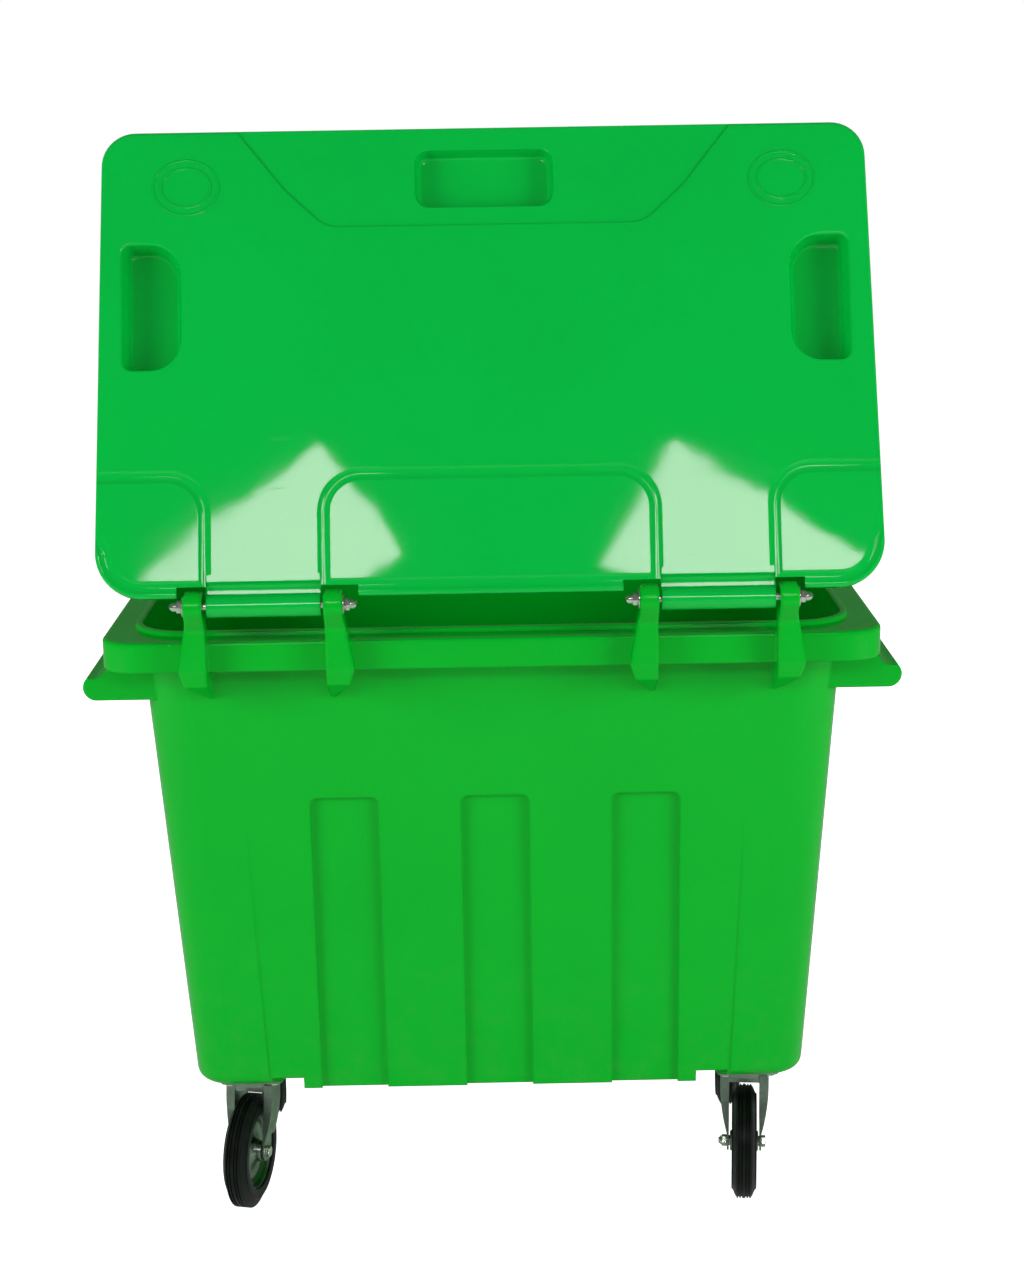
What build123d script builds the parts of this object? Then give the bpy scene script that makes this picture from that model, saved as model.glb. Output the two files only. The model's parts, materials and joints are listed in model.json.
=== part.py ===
from build123d import *
import os
from math import cos, radians, sin

# Four-wheeled wheelie bin, in millimetres. X runs across, -Y is the hinge side and the floor is z = 0.
# The rim, the wheels and the heights set the size of the bin. The other pieces take their places from those.

# Rim and overall height
rim_width = 1270.0
rim_depth = 738.0
rim_top = 1072.0
rim_ledge = 50.0            # rim edge to the body wall
rim_skirt = 49.0
rim_skin = 5.0
rim_lap = 0.5               # skirt wall thinner than the top skin
rim_corner = 60.0
mouth_corner = 85.0
bead_rise = 8.0
bead_thickness = 12.0

# Tub walls and base
wall = 6.0
side_taper = 55.0           # each side wall leans in by this, top to base
end_taper = 70.0            # the front and rear walls lean in by this
base_corner = 62.0
base_round = 22.0
pad_to_rail = 3.0           # castor mounting face to the underside of the middle of the base
pad_to_corner = 8.0         # castor mounting face to the underside of the base corners
pad_to_floor = 23.0         # castor mounting face to the underside of the floor
floor_skin = 6.0
corner_block = 135.0        # side of the base to the end of the low middle part
notch_width = 54.0
base_band = 30.0            # solid band around the hollow underside
panel_width = 114.0
panel_margin = 86.0
panel_drop = 288.0          # top of the sunk panels below the rim
panel_sink = 7.0
panel_corner = 13.0
field_sink = 2.5
field_rise = 22.0           # the shallow field reaches this far over the panels
field_spread = 25.0

# Lifting rails and pins
rail_start = 80.0           # centre of the tub to the rail's inner end
rail_inset = 84.0           # rail's outer end, inside the rim's front and rear edges
rail_drop = 115.0           # underside of the rail below the rim's top
rail_reach = 42.0           # tip of the rail beyond the rim
rail_tip_radius = 22.0
rail_wall = 5.0
rail_crest_angle = 40.0
rail_cells = 3
lift_pin_reach = 50.0       # end of the pin beyond the rim
lift_pin_radius = 20.0
lift_pin_length = 48.0
lift_pin_drop = 92.0        # below the rim's top
lift_pin_edge = 5.0
lift_boss_radius = 34.0

# Hinge
hinge_reach = 33.0          # hinge axis behind the rim
hinge_rise = 67.0           # hinge axis above the rim
hinge_inset = 184.0         # outer end of the lid's barrel, in from the rim's side
barrel_length = 181.0
barrel_radius = 18.0
gap_outer_arm = 7.0
gap_inner_arm = 4.0
hinge_pin_radius = 6.0
running_gap = 0.05
eye_radius = 24.0
arm_width = 30.0
arm_foot_width = 45.0
arm_foot_drop = 109.0
arm_edge = 3.0
arm_bend = 12.0
arm_top_round = 9.0
arm_neck = 16.0             # the arm narrows over this height under the eye
arm_neck_back = 2.0         # rear face of the neck, forward of the axis
arm_bevel = 26.0            # height of the bevelled end of the arm
arm_bevel_side = 8.0
arm_bevel_back = 7.0
keel_height = 68.0          # the thin keel goes on down the wall under the arm
keel_width = 6.0
arm_seat = 9.0              # the arm's front face, forward of the rim's rear edge
washer_reach = 11.0         # washer beyond the pin, all round
washer_thickness = 2.5
cap_nut_wall = 3.0
cap_nut_length = 21.0
cap_nut_hex = 9.0
cap_nut_dome_inset = 0.8
cap_nut_crown = 3.0         # solid end of the nut beyond the pin

# Lid, along its own face from the hinge axis
lid_side_gap = 6.0          # lid's rear corners inside the rim's sides
lid_front_gap = 3.0         # lid's front edge inside the rim's front edge
lid_rear = 12.5
lid_taper = 15.0            # each side of the lid leans in by this, rear to front
lid_rear_corner = 75.0
lid_front_corner = 55.0
lid_face = 12.0
lid_skin = 5.0
lid_skirt_wall = 4.5
lid_skirt_rear = 50.0
lid_lip = 17.0
lid_closed_slope = 2.2
lid_lean_back = 18.5        # as it stands, from upright
lid_seat_gap = 1.0
notch_depth = 30.0
outer_notch_width = 47.0
inner_notch_width = 60.0
notch_side_gap = 0.6
lid_edge_round = 6.0
groove_width = 20.0
groove_depth = 3.2
groove_low = 30.0           # middle of the pads' lower grooves
groove_inside = 6.0         # middle of the centre pad's groove, in from the barrel
groove_outside = 2.0        # middle of a corner pad's groove, out from the barrel
pad_top = 207.0             # middle of the pads' upper grooves
pad_corner = 60.0
channel_radius = 13.0       # hollow between the lid's face and the barrel
channel_middle = 25.0
channel_floor = 3.0
emblem_length = 108.0
emblem_height = 92.0
emblem_band = 13.0          # between the outer and the inner ring
emblem_line = 2.5
emblem_rise = 0.8
emblem_side = 150.0         # middle of the plain ring, in from the lid's rear width
emblem_inset = 92.0         # and from the lid's front edge
front_grip_half_width = 112.0
front_grip_edge = 36.0      # bar in front of the grip
front_grip_length = 95.0
front_grip_depth = 30.0
side_grip_edge = 52.0       # bar between the grip and the rim's side
side_grip_width = 96.0
side_grip_inset = 184.0     # front end of the grip, from the lid's front edge
side_grip_length = 205.0
side_grip_depth = 40.0
grip_draft = 12.0
grip_corner = 24.0
grip_outer_corner = 16.0
side_grip_corner = 52.0
grip_rim_round = 4.0
grip_floor_round = 6.0
apron_half_width = 256.0
apron_length = 160.0
apron_knee_out = 66.0
apron_knee_forward = 62.0
apron_flare = 143.0
apron_sink = 2.0

# Castors
wheel_radius = 100.0
tyre_width = 44.0
tread_width = 26.0
tread_edge = 3.0
tread_edge_drop = 1.5
shoulder_drop = 16.0
shoulder_step = 2.0
tyre_height = 34.0
tyre_bead = 3.0
tyre_bead_height = 4.0
castor_head = 40.0          # top of the tyre to the mounting face
castor_trail = 45.0
castor_inset = 93.0         # kingpin in from the side of the base
rear_castor_inset = 106.0
front_castor_inset = 89.0
plate_length = 108.0
plate_depth = 138.0
plate_thickness = 4.0
plate_corner = 10.0
bolt_spacing_x = 78.0
bolt_spacing_y = 105.0
bolt_radius = 5.0
bolt_flats = 16.0
bolt_head = 6.4
bolt_hole_gap = 0.5
insert_wall = 3.0
insert_length = 19.0
bolt_end_gap = 3.0          # bolt's end short of the insert's end
pad_margin = 3.0
pad_round = 12.0
race_radius = 40.0
race_gap = 0.3
race_depth = 7.0            # plate to the top of the balls' lower track, less the balls
ball_radius = 4.0
ball_circle = 31.0
ball_count = 16
fork_head_radius = 43.0
fork_sheet = 3.5
fork_lip_wall = 2.0
fork_shoulder = 22.0
fork_bulge = 0.72
fork_side_gap = 5.0         # tyre to each leg
fork_leg_half = 34.4        # half width of the leg at the crown
fork_leg_front_drop = 22.0
fork_leg_back_drop = 45.0
fork_leg_back = 8.0
fork_stay_drop = 11.0       # cross wall between the legs, under the head
fork_eye_radius = 17.0
kingpin_radius = 8.0
kingpin_head_radius = 14.0
kingpin_head = 4.0
axle_radius = 6.0
axle_nut_wall = 3.0
axle_head = 7.5
axle_nut = 12.0
axle_end = 3.0              # bolt's end beyond the nut
sleeve_wall = 3.0
bearing_wall = 4.0
hub_wall = 5.0
hub_end_gap = 2.0           # hub to each leg
hub_fillet = 6.0
web_thickness = 6.0
web_inner = 22.0            # the web is flat from here out, beyond the hub
web_outer = 6.0
wheel_rim_width = 36.0
wheel_rim_skin = 3.0
wheel_rim_edge = 2.0
swivel_rear_left = -13.0      # turned about +Z, 0 trails towards the hinge side
swivel_rear_right = -6.0
swivel_front_left = 188.0
swivel_front_right = 172.0

# Brakes of the front castors
pedal_pivot_back = 62.0
pedal_pivot_drop = 29.0     # below the mounting face
pedal_pin_radius = 4.0
pedal_pin_end = 2.0
pedal_lug = 14.0
pedal_lug_top = 12.0
pedal_knuckle_wall = 3.0
pedal_plate = 5.0
pedal_side_gap = 2.0        # pedal to each leg
pedal_reach = 98.0
pedal_corner = 10.0
pedal_slope = 14.0

# Drain
drain_offset = 110.0        # in front of the centre of the tub
drain_radius = 25.0
drain_wall = 4.0
drain_end_gap = 1.0
drain_boss_wall = 15.0
drain_boss_drop = 13.0
drain_flange_reach = 10.0
drain_flange = 5.0
drain_seal_gap = 2.0        # neck to the seal
drain_seal_width = 4.0
drain_seal_height = 1.7
drain_grip_height = 9.0
drain_grip_width = 12.0
drain_gap = 2.0

# Worked out from the sizes above
width_over_pins = rim_width + 2 * lift_pin_reach
tub_y = (hinge_reach + eye_radius) / 2
rim_rear_y = tub_y - rim_depth / 2
hinge_y = rim_rear_y - hinge_reach
hinge_z = rim_top + hinge_rise
mouth_width = rim_width - 2 * rim_ledge
mouth_depth = rim_depth - 2 * rim_ledge
base_width = mouth_width - 2 * side_taper
base_depth = mouth_depth - 2 * end_taper
castor_height = 2 * wheel_radius + castor_head
rail_bottom = castor_height + pad_to_rail
corner_bottom = castor_height + pad_to_corner
floor_bottom = castor_height + pad_to_floor
floor_top = floor_bottom + floor_skin
notch_outer = base_width / 2 - corner_block
notch_inner = notch_outer - notch_width
panel_pitch = notch_outer - panel_margin - panel_width / 2
panel_top = rim_top - panel_drop
field_top = panel_top + field_rise
rail_tip = rim_width / 2 + rail_reach
rail_low = rim_top - rail_drop
rail_end = rim_depth / 2 - rail_inset
rail_length = rail_end - rail_start
lift_pin_z = rim_top - lift_pin_drop
barrel_outer = rim_width / 2 - hinge_inset
barrel_inner = barrel_outer - barrel_length
lid_length = hinge_reach + rim_depth - lid_front_gap
lid_rear_width = rim_width - 2 * lid_side_gap
lid_front_width = lid_rear_width - 2 * lid_taper
front_grip_far = lid_length - front_grip_edge
front_grip_near = front_grip_far - front_grip_length
side_grip_outer = rim_width / 2 - side_grip_edge
side_grip_inner = side_grip_outer - side_grip_width
side_grip_far = lid_length - side_grip_inset
side_grip_near = side_grip_far - side_grip_length
wheel_z = wheel_radius
washer_radius = hinge_pin_radius + washer_reach
cap_nut_flats = 2 * (hinge_pin_radius + cap_nut_wall)
axle_flats = 2 * (axle_radius + axle_nut_wall)
wheel_rim_radius = wheel_radius - tyre_height
fork_gap = tyre_width + 2 * fork_side_gap
hub_length = fork_gap - 2 * hub_end_gap
sleeve_radius = axle_radius + sleeve_wall
bearing_radius = sleeve_radius + bearing_wall
hub_radius = bearing_radius + hub_wall
insert_radius = bolt_radius + insert_wall
pedal_pivot_z = castor_height - pedal_pivot_drop
pedal_width = fork_gap - 2 * pedal_side_gap
drain_y = tub_y + drain_offset
drain_low = floor_bottom - drain_boss_drop - drain_gap
far = 2 * width_over_pins


def box_between(low, high):
    """A box from its low corner to its high corner."""
    size = [h - l for l, h in zip(low, high)]
    return Pos(*low) * Box(*size, align=(Align.MIN, Align.MIN, Align.MIN))


def both_sides(shape):
    """A shape and its mirror image across the middle of the bin."""
    return [shape, mirror(shape, Plane.YZ)]


def tube(outer, inner, length):
    """A tube along +Z from z = 0."""
    ring = Circle(outer) - Circle(inner)
    return extrude(ring, length)


def upright(radius, length):
    """A cylinder standing on z = 0."""
    return Cylinder(radius, length, align=(Align.CENTER, Align.CENTER, Align.MIN))


def along_x(shape):
    """Turns a shape built along +Z to lie along +X."""
    return Rot(0, 90, 0) * shape


def hexagon(flats):
    return RegularPolygon(radius=flats / 2, side_count=6, major_radius=False)


def body_section(z, inset):
    """The body's rounded outline at a height, drawn in from the outer wall."""
    share = (z - rail_bottom) / (rim_top - rail_bottom)
    width = base_width + share * (mouth_width - base_width) - 2 * inset
    depth = base_depth + share * (mouth_depth - base_depth) - 2 * inset
    corner = base_corner + share * (mouth_corner - base_corner) - inset
    return Pos(0, tub_y, z) * RectangleRounded(width, depth, corner)


def body_block(low, high, inset):
    return loft([body_section(low, inset), body_section(high, inset)], ruled=True)


def wall_window(sketch, side):
    """Everything behind (-1) or in front (+1) of the tub's middle that a sketch on the XZ plane covers."""
    return extrude(Plane.XZ.offset(-tub_y) * sketch, -side * rim_depth)


def panel_sketch(x, grow):
    """The outline of one sunk wall panel, open at the base."""
    low = rail_bottom - rail_bottom / 2
    height = panel_top + grow - low
    outline = Pos(x, low + height / 2) * Rectangle(panel_width + 2 * grow, height)
    top = outline.vertices().group_by(Axis.Y)[-1]
    return fillet(top, panel_corner)


def field_sketch():
    """The shallow field around the panels, a little narrower at the base."""
    low = rail_bottom - rail_bottom / 2
    points = [(-notch_outer, low), (notch_outer, low), (notch_outer + field_spread, field_top)]
    points.append((-notch_outer - field_spread, field_top))
    return make_face(Polyline(*points, close=True))


def field_core():
    """What the shallow field leaves: full depth at the base, none at the field's top."""
    return loft([body_section(0, field_sink), body_section(field_top, 0)], ruled=True)


def tub_outside():
    """The body with its base steps and sunk panels, still solid."""
    corners = body_block(corner_bottom, rim_top, 0)
    corners = fillet(corners.edges().group_by(Axis.Z)[0], base_round)
    window = box_between((-notch_outer, -far, 0), (notch_outer, far, far))
    block = corners + (body_block(rail_bottom, rim_top, 0) & window)
    for side in (-1, 1):
        field = wall_window(field_sketch(), side) - field_core()
        block = block - field
        for x in (-panel_pitch, 0, panel_pitch):
            panel = wall_window(panel_sketch(x, 0), side) - body_block(0, far, field_sink + panel_sink)
            block = block - panel
    notch = box_between((notch_inner, -far, 0), (notch_outer + 1, far, floor_bottom))
    notch = notch - Pos(0, tub_y, 0) * Box(far, base_depth - 2 * base_band, far)
    for cut in both_sides(notch):
        block = block - cut
    return block


def tub_inside():
    """The space inside the body, drawn in where the wall panels are."""
    space = body_block(floor_top, rim_top + 2 * bead_rise, wall)
    space = fillet(space.edges().group_by(Axis.Z)[0], base_round / 2)
    for side in (-1, 1):
        for x in (-panel_pitch, 0, panel_pitch):
            sunk = field_sink + panel_sink + wall
            space = space - (wall_window(panel_sketch(x, wall), side) - body_block(0, far, sunk))
    return space


def base_hollow():
    """The hollow under the floor, with ribs and the castor pads left in."""
    space = body_block(rail_bottom - wall, floor_bottom, base_band)
    for x in (-notch_inner, 0, notch_inner):
        space = space - Pos(x, tub_y, 0) * Box(wall, rim_depth, far)
    space = space - Pos(0, tub_y, 0) * Box(rim_width, wall, far)
    return space


def castor_places():
    """Name, x, y and swivel of each castor."""
    side = base_width / 2 - castor_inset
    rear = tub_y - base_depth / 2 + rear_castor_inset
    front = tub_y + base_depth / 2 - front_castor_inset
    return [
        ("rear_left", -side, rear, swivel_rear_left),
        ("rear_right", side, rear, swivel_rear_right),
        ("front_left", -side, front, swivel_front_left),
        ("front_right", side, front, swivel_front_right),
    ]


def bolt_places():
    return [Pos(x, y) for _, x, y, _ in castor_places() for x, y in rectangle_corners(x, y)]


def rectangle_corners(x, y):
    """The four bolt centres of a castor plate."""
    half_x = bolt_spacing_x / 2
    half_y = bolt_spacing_y / 2
    return [(x + i * half_x, y + j * half_y) for i in (-1, 1) for j in (-1, 1)]


def rim():
    """The turned-down rim and the upstanding bead round the mouth."""
    outline = Pos(0, tub_y, rim_top - rim_skirt) * RectangleRounded(rim_width, rim_depth, rim_corner)
    block = extrude(outline, rim_skirt)
    block = fillet(block.edges().group_by(Axis.Z)[-1], rim_skin)
    inset = 2 * (rim_skin - rim_lap)
    inner = RectangleRounded(rim_width - inset, rim_depth - inset, rim_corner - inset / 2)
    block = block - extrude(Pos(0, tub_y, rim_top - rim_skirt) * inner, rim_skirt - rim_skin)
    grown = 2 * (bead_thickness - wall)
    bead = RectangleRounded(mouth_width + grown, mouth_depth + grown, mouth_corner + grown / 2)
    bead = extrude(Pos(0, tub_y, rim_top - rim_skin) * bead, rim_skin + bead_rise)
    bead = fillet(bead.edges().group_by(Axis.Z)[-1], bead_thickness / 3)
    return block + bead


def lifting_rail():
    """A ribbed rail under the rim's right side, from its profile, open underneath."""
    edge = rim_width / 2
    inside = mouth_width / 2 - mouth_corner / 2
    tip = (rail_tip - rail_tip_radius, rail_low + rail_tip_radius)
    start = (tip[0], rail_low)
    top = rim_top - rim_skirt
    crest_x = tip[0] + rail_tip_radius * sin(radians(rail_crest_angle))
    crest_z = tip[1] + rail_tip_radius * cos(radians(rail_crest_angle))
    crest = (crest_x, crest_z)
    outline = Polyline((edge, top + rail_wall), (inside, top + rail_wall), (inside, rail_low), start)
    nose = ThreePointArc(start, (rail_tip, tip[1]), crest)
    bend = (edge + (crest_x - edge) / 4, crest_z + (top - crest_z) / 5)
    neck = ThreePointArc(crest, bend, (edge, top + rail_wall))
    profile = make_face(Plane.XZ * (outline + nose + neck))
    start_y = tub_y - rail_end
    rail = extrude(profile, -rail_length)
    rail = Pos(0, start_y, 0) * rail
    pitch = (rail_length - rail_wall) / rail_cells
    for index in range(rail_cells):
        low_y = start_y + rail_wall + index * pitch
        low = (inside, low_y, rail_low - rail_wall)
        high = (edge - rail_wall, low_y + pitch - rail_wall, top - rail_wall)
        rail = rail - box_between(low, high)
    return rail


def lift_pin():
    """The right-hand trunnion that a lorry's arm lifts by, with its boss on the wall."""
    start = mouth_width / 2 - 2 * wall
    end = width_over_pins / 2
    pin = upright(lift_pin_radius, end - start)
    pin = fillet(pin.edges().group_by(Axis.Z)[-1], lift_pin_edge)
    boss_length = end - lift_pin_length - start
    boss = upright(lift_boss_radius, boss_length)
    return Pos(start, tub_y, lift_pin_z) * along_x(pin + boss)


def arm_profiles():
    """An arm's outline from the side, with the eye at the origin, Y forwards."""
    neck = arm_neck_back
    low = -arm_foot_drop
    wall_y = hinge_reach + rim_ledge
    slope = (mouth_depth - base_depth) / 2 / (rim_top - rail_bottom)
    keel_drop = arm_foot_drop + keel_height
    keel_y = wall_y + (keel_drop - hinge_rise) * slope + wall / 2
    points = [(-eye_radius * cos(radians(45)), -eye_radius * sin(radians(45)))]
    points += [(neck, -eye_radius - arm_neck), (neck, low)]
    points += [(neck + arm_bevel_back, low - arm_bevel), (keel_y, -keel_drop)]
    points += [(wall_y + wall / 2, -hinge_rise - rim_skin / 2)]
    points += [(hinge_reach + arm_seat, -hinge_rise - rim_skin / 2), (eye_radius, 0), (0, 0)]
    return points, keel_drop


def long_rear_edges(arm):
    """The edges that run down both sides of an arm's rear face."""
    rear = [face for face in arm.faces() if face.center().Y < hinge_reach and abs(face.normal_at().Y) > 0.5]
    around = [edge for face in rear for edge in face.edges()]
    down = [edge for edge in arm.edges() if abs((edge % 0.5).X) < 0.5]
    return [edge for edge in down if any(edge.is_same(other) for other in around)]


def hinge_arm(straight_face, outward):
    """One arm: its straight face at an x, flaring outward (+1 or -1) towards its foot."""
    points, keel_drop = arm_profiles()
    side = make_face(Polyline(*points, close=True))
    bends = [vertex for vertex in side.vertices() if vertex.X < arm_neck_back + arm_bevel_back]
    bends = [vertex for vertex in bends if vertex.X > 0 and vertex.Y < -eye_radius]
    side = fillet(bends, arm_bend)
    side = extrude(Plane.YZ.offset(-far / 2) * (side + Circle(eye_radius)), far)
    foot = -arm_foot_drop
    face = [(0, eye_radius), (arm_width, eye_radius), (arm_width, -eye_radius), (arm_foot_width, foot)]
    face += [(arm_foot_width - arm_bevel_side, foot - arm_bevel), (keel_width, -keel_drop), (0, -keel_drop)]
    front = make_face(Polyline(*[(outward * x, z) for x, z in face], close=True))
    front = fillet(front.vertices().group_by(Axis.Y)[-1], arm_top_round)
    flare = [vertex for vertex in front.vertices() if abs(vertex.X) > arm_width - rim_lap and vertex.Y < 0]
    front = fillet(flare, arm_bend)
    front = extrude(Plane.XZ.offset(-rim_depth) * front, 2 * rim_depth)
    arm = (Pos(straight_face, 0, 0) * front) & side
    return Pos(0, hinge_y, hinge_z) * fillet(long_rear_edges(arm), arm_edge)


def tub():
    """The moulded tub: body, rim, bead, hinge arms, lifting rails and pins in one piece."""
    shell = tub_outside() - base_hollow() + rim()
    pad_size = (plate_length + 2 * pad_margin, plate_depth + 2 * pad_margin)
    pad = extrude(RectangleRounded(*pad_size, pad_round), floor_top - castor_height)
    outline = body_block(castor_height, rim_top, 0)
    for _, x, y, _ in castor_places():
        shell = shell + (Pos(x, y, castor_height) * pad & outline)
    drain_boss_radius = drain_radius + drain_boss_wall
    drain_boss = upright(drain_boss_radius, drain_boss_drop + floor_skin)
    drain_well = Pos(0, drain_y, 0) * Cylinder(drain_boss_radius, 2 * floor_bottom)
    shell = shell - drain_well + Pos(0, drain_y, floor_bottom - drain_boss_drop) * drain_boss
    for rail_rear in both_sides(lifting_rail()):
        shell = shell + rail_rear + mirror(rail_rear, Plane.XZ.offset(-tub_y))
    for pin in both_sides(lift_pin()):
        shell = shell + pin
    for arm in both_sides(hinge_arm(barrel_outer + gap_outer_arm, 1)):
        shell = shell + arm
    for arm in both_sides(hinge_arm(barrel_inner - gap_inner_arm, -1)):
        shell = shell + arm
    shell = shell - tub_inside()
    pin_hole = along_x(Cylinder(hinge_pin_radius + running_gap, far))
    shell = shell - Pos(0, hinge_y, hinge_z) * pin_hole
    insert_hole = upright(insert_radius, insert_length)
    for place in bolt_places():
        shell = shell - place * Pos(0, 0, castor_height) * insert_hole
    return shell - Pos(0, drain_y, floor_bottom) * Cylinder(drain_radius + running_gap, rim_depth / 4)


def hinge_span():
    """The x of both outer faces that a hinge pin's nuts clamp."""
    low = barrel_inner - gap_inner_arm - arm_width
    high = barrel_outer + gap_outer_arm + arm_width
    return low, high


def hinge_pin():
    low, high = hinge_span()
    reach = washer_thickness + cap_nut_length - cap_nut_crown
    pin = upright(hinge_pin_radius, high - low + 2 * reach)
    return Pos(low - reach, hinge_y, hinge_z) * along_x(pin)


def cap_nut():
    """A domed nut standing on z = 0, bored for the pin's end."""
    nut = extrude(hexagon(cap_nut_flats), cap_nut_hex)
    dome_radius = cap_nut_flats / 2 - cap_nut_dome_inset
    dome = upright(dome_radius, cap_nut_length)
    dome = fillet(dome.edges().group_by(Axis.Z)[-1], dome_radius - cap_nut_dome_inset)
    bore = upright(hinge_pin_radius, cap_nut_length - cap_nut_crown)
    return nut + dome - bore


def hinge_ends(shape, stand_off):
    """A fastener at both ends of both hinge pins."""
    low, high = hinge_span()
    right = [Pos(high + stand_off, hinge_y, hinge_z) * along_x(shape)]
    right.append(Pos(low - stand_off, hinge_y, hinge_z) * Rot(0, -90, 0) * shape)
    return Compound([piece for one in right for piece in both_sides(one)])


def lid_outline(rear, inset):
    """The lid's outline in its own frame, from a line behind, drawn in all round."""
    front = lid_length - inset
    slope = (lid_rear_width - lid_front_width) / 2 / (lid_length - lid_rear)
    rear_half = lid_rear_width / 2 - (rear - lid_rear) * slope - inset
    front_half = lid_front_width / 2 - inset
    start = rear + inset
    corners = [(-rear_half, start), (rear_half, start), (front_half, front), (-front_half, front)]
    outline = make_face(Polyline(*corners, close=True))
    outline = fillet(outline.vertices().group_by(Axis.Y)[0], lid_rear_corner - inset)
    return fillet(outline.vertices().group_by(Axis.Y)[-1], lid_front_corner - inset)


def seat_cutter():
    """Everything under the plane of the rim's top when the lid is shut."""
    block = Pos(0, 0, -far / 2) * Box(2 * far, 2 * far, far)
    return Rot(lid_closed_slope, 0, 0) * Pos(0, 0, lid_seat_gap - hinge_rise) * block


def grip_sketch(low, high, radius_low, radius_high):
    """A rounded pocket outline. The first radius is for the corners at the lower x."""
    centre = ((low[0] + high[0]) / 2, (low[1] + high[1]) / 2)
    outline = Pos(*centre) * Rectangle(high[0] - low[0], high[1] - low[1])
    outline = fillet(outline.vertices().group_by(Axis.X)[0], radius_low)
    return fillet(outline.vertices().group_by(Axis.X)[-1], radius_high)


def grips():
    """Outline and depth of each hand grip."""
    width = front_grip_half_width
    front = grip_sketch((-width, front_grip_near), (width, front_grip_far), grip_corner, grip_corner)
    low = (side_grip_inner, side_grip_near)
    high = (side_grip_outer, side_grip_far)
    side = grip_sketch(low, high, side_grip_corner, grip_outer_corner)
    places = [(front, front_grip_depth), (side, side_grip_depth)]
    places.append((mirror(side, Plane.YZ), side_grip_depth))
    return places


def pocket(outline, depth):
    """A drafted hand pocket with a rounded floor, cut down from the lid's face."""
    top = Pos(0, 0, lid_face) * outline
    cut = extrude(top, -depth, taper=grip_draft)
    return fillet(cut.edges().group_by(Axis.Z)[0], grip_floor_round)


def pocket_cup(outline, depth):
    """The wall round a hand pocket, under the lid."""
    start = Pos(0, 0, lid_face - lid_skin / 2) * offset(outline, lid_skirt_wall)
    return extrude(start, -depth - lid_skirt_wall + lid_skin / 2, taper=grip_draft)


def rim_edges(shell, outline):
    """The edges where a pocket meets the lid's face."""
    box = outline.bounding_box()
    found = []
    for edge in shell.edges().filter_by_position(Axis.Z, lid_face - rim_lap, lid_face + rim_lap):
        middle = edge.center()
        if box.min.X - 1 < middle.X < box.max.X + 1 and box.min.Y - 1 < middle.Y < box.max.Y + 1:
            found.append(edge)
    return found


def round_groove(path):
    """A half-round groove along a path drawn under the middle of the groove."""
    radius = (groove_width**2 / 4 + groove_depth**2) / (2 * groove_depth)
    section = Plane(origin=path @ 0, z_dir=path % 0) * Circle(radius)
    rise = Pos(0, 0, lid_face + radius - groove_depth)
    return rise * sweep(section, path=path, transition=Transition.RIGHT)


def corner_path():
    """Round a corner pad: in over the lid's side edge, down, along the rear and out again."""
    inset = groove_low - lid_rear
    turn = lid_rear_corner - inset
    inner = barrel_outer + groove_outside
    side = lid_rear_width / 2 - inset
    bend = pad_top - pad_corner
    top = Line((side + groove_width, pad_top), (inner + pad_corner, pad_top))
    upper = RadiusArc(top @ 1, (inner, bend), -pad_corner)
    down = Line(upper @ 1, (inner, groove_low))
    rear = Line(down @ 1, (side - turn, groove_low))
    lower = RadiusArc(rear @ 1, (side, groove_low + turn), -turn)
    out = Line(lower @ 1, (side + 2 * groove_width, groove_low + turn + 4 * groove_width))
    return Wire([top, upper, down, rear, lower, out])


def pad_grooves():
    """The grooves round the centre pad and the two corner pads."""
    half = barrel_inner - groove_inside
    middle = (groove_low + pad_top) / 2
    centre = Pos(0, middle) * Rectangle(2 * half, pad_top - groove_low)
    centre = fillet(centre.vertices().group_by(Axis.Y)[-1], pad_corner)
    return [round_groove(centre.wire())] + both_sides(round_groove(corner_path()))


def apron():
    """The shallow stepped area round the front grip."""
    near = lid_length - apron_length
    half = apron_half_width
    front = lid_length + lid_skirt_wall
    wide = half + apron_flare
    knee = (half + apron_knee_out, near + apron_knee_forward)
    points = [(wide, front), (wide, lid_length), knee, (half, near)]
    left = [(-x, y) for x, y in reversed(points)]
    outline = make_face(Polyline(*points, *left, close=True))
    bends = [vertex for vertex in outline.vertices() if vertex.Y < lid_length - 1]
    outline = fillet(bends, side_grip_corner)
    return extrude(Pos(0, 0, lid_face - apron_sink) * outline, 2 * apron_sink)


def emblem_rings():
    """Two plain raised rings, one inside the other, near the lid's front corner."""
    place = Pos(lid_rear_width / 2 - emblem_side, lid_length - emblem_inset, lid_face - lid_skin / 2)
    rings = []
    for inset in (0, emblem_band):
        long = emblem_length / 2 - inset
        high = emblem_height / 2 - inset
        ring = Ellipse(long, high) - Ellipse(long - emblem_line, high - emblem_line)
        rings.append(place * extrude(ring, lid_skin / 2 + emblem_rise))
    return rings


def lid_shell():
    """The lid's face, lip and skirt, with its front and rear edges rounded."""
    deep = hinge_rise + lid_face
    block = extrude(Pos(0, 0, lid_face - deep) * lid_outline(lid_skirt_rear, 0), deep)
    lip = extrude(Pos(0, 0, lid_face - lid_lip) * lid_outline(lid_rear, 0), lid_lip)
    block = (block - seat_cutter()) + lip
    block = fillet(block.edges().group_by(Axis.Z)[-1], lid_edge_round)
    inner = lid_outline(lid_skirt_rear, lid_skirt_wall)
    hollow = extrude(Pos(0, 0, lid_face - deep) * inner, deep - lid_skin)
    lip_hollow = lid_outline(lid_rear, lid_skirt_wall)
    lip_hollow = extrude(Pos(0, 0, lid_face - lid_lip) * lip_hollow, lid_lip - lid_skin)
    return block - hollow - lip_hollow


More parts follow.
